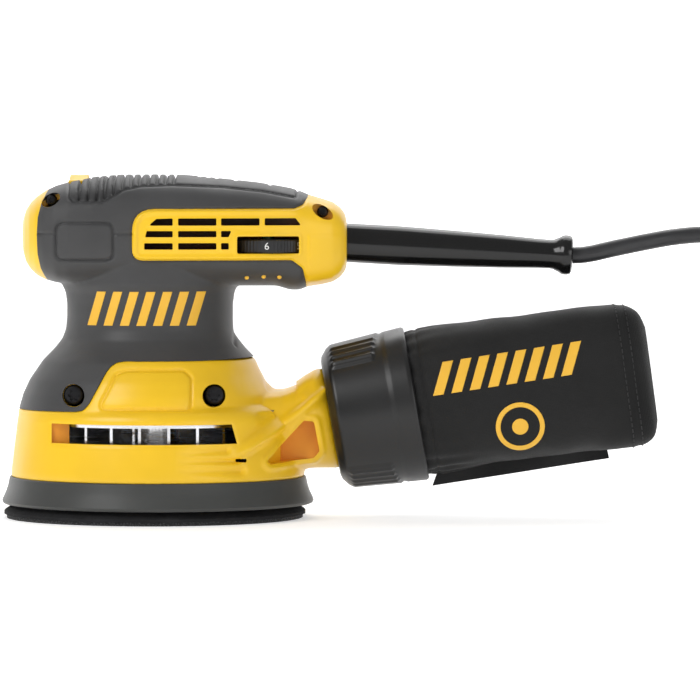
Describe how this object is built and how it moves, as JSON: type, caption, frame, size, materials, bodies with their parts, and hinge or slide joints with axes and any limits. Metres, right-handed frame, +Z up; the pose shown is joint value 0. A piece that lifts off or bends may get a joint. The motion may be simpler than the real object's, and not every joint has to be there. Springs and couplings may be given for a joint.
{
  "type": "random orbit sander",
  "caption": "Palm-grip random orbit sander with a round hook-and-loop pad, clamshell housing, speed dial, rocker switch, dust bag and mains lead.",
  "frame": {"origin": "motor axis, on the plane of the pad's sanding face", "axes": "+Z up along the motor axis, +X towards the cord and the dust bag"},
  "size_m": [0.4285, 0.1444, 0.1435],
  "materials": {
    "yellow_shell": "fine moulded texture, satin",
    "soft_grip": "matt soft overmould",
    "black_plastic": "moulded, satin",
    "skirt_rubber": "matt",
    "foam": "closed-cell foam, matt",
    "hook_pile": "short hook pile",
    "steel": "ground",
    "laminations": "stacked plates",
    "cast_zinc": "cast, dull",
    "fan_metal": "bright cast",
    "copper": "enamelled wire",
    "brass": "stamped",
    "carbon": "pressed carbon",
    "board": "coated board",
    "terminal_white": "moulded",
    "screw_black": "blackened",
    "relief_rubber": "smooth, glossy",
    "cord_jacket": "smooth jacket",
    "bag_cloth": "woven, coated",
    "bag_edge": "folded webbing",
    "seal_rubber": "matt"
  },
  "bodies": {
    "housing": {"lower_bearing": "steel", "upper_bearing": "steel", "bearing_bracket": "cast_zinc", "stator_core": "laminations", "field_coils": "copper", "brush_holders": "brass", "carbon_brushes": "carbon", "brush_springs": "steel", "skirt": "skirt_rubber", "shroud": "yellow_shell", "housing_left": "yellow_shell", "housing_right": "yellow_shell", "grip_left": "soft_grip", "grip_right": "soft_grip", "palm_cover": "soft_grip", "switch_body": "black_plastic", "speed_module": "board", "terminal_block": "terminal_white", "cord_clamp": "black_plastic", "clamp_screws": "steel", "housing_screws": "screw_black", "outlet_seal": "seal_rubber", "strain_relief": "relief_rubber", "cord_lead": "cord_jacket", "cord_tube": "cord_jacket", "cord_coil": "cord_jacket", "cord_tail": "cord_jacket", "plug_body": "relief_rubber", "plug_pins": "brass"},
    "rotor": {"pad_bearing": "steel", "balance_weight": "cast_zinc", "fan": "fan_metal", "motor_shaft": "steel", "armature_core": "laminations", "armature_windings": "copper", "commutator": "copper"},
    "pad": {"hook_face": "hook_pile", "pad_foam": "foam", "backing_plate": "black_plastic", "pad_spindle": "steel", "pad_screws": "steel"},
    "rocker": {"switch_rocker": "yellow_shell"},
    "dial": {"speed_dial": "black_plastic"},
    "dust_bag": {"bag_neck": "black_plastic", "bag_fabric": "bag_cloth", "bag_closure": "bag_edge"},
    "collar": {"locking_collar": "black_plastic"}
  },
  "joints": [
    {"name": "motor_spin", "type": "hinge", "parent": "housing", "child": "rotor", "pos_m": [0, 0, 0.07], "axis": [0, 0, 1], "continuous": true},
    {"name": "pad_spin", "type": "hinge", "parent": "rotor", "child": "pad", "pos_m": [-0.0013, 0, 0.019], "axis": [0, 0, 1], "continuous": true},
    {"name": "rocker_tilt", "type": "hinge", "parent": "housing", "child": "rocker", "pos_m": [-0.033, 0, 0.1379], "axis": [1, 0, 0], "range_deg": [-14, 0]},
    {"name": "dial_turn", "type": "hinge", "parent": "housing", "child": "dial", "pos_m": [0.0462, -0.01903, 0.1113], "axis": [0, 0, 1], "range_deg": [-150, 0]},
    {"name": "bag_pull", "type": "slide", "parent": "housing", "child": "dust_bag", "axis": [0.9851, 0, 0.1719], "range_m": [0, 0.03]},
    {"name": "collar_twist", "type": "hinge", "parent": "dust_bag", "child": "collar", "pos_m": [0.0757, 0, 0.042], "axis": [0.9851, 0, 0.1719], "range_deg": [0, 45]}
  ]
}
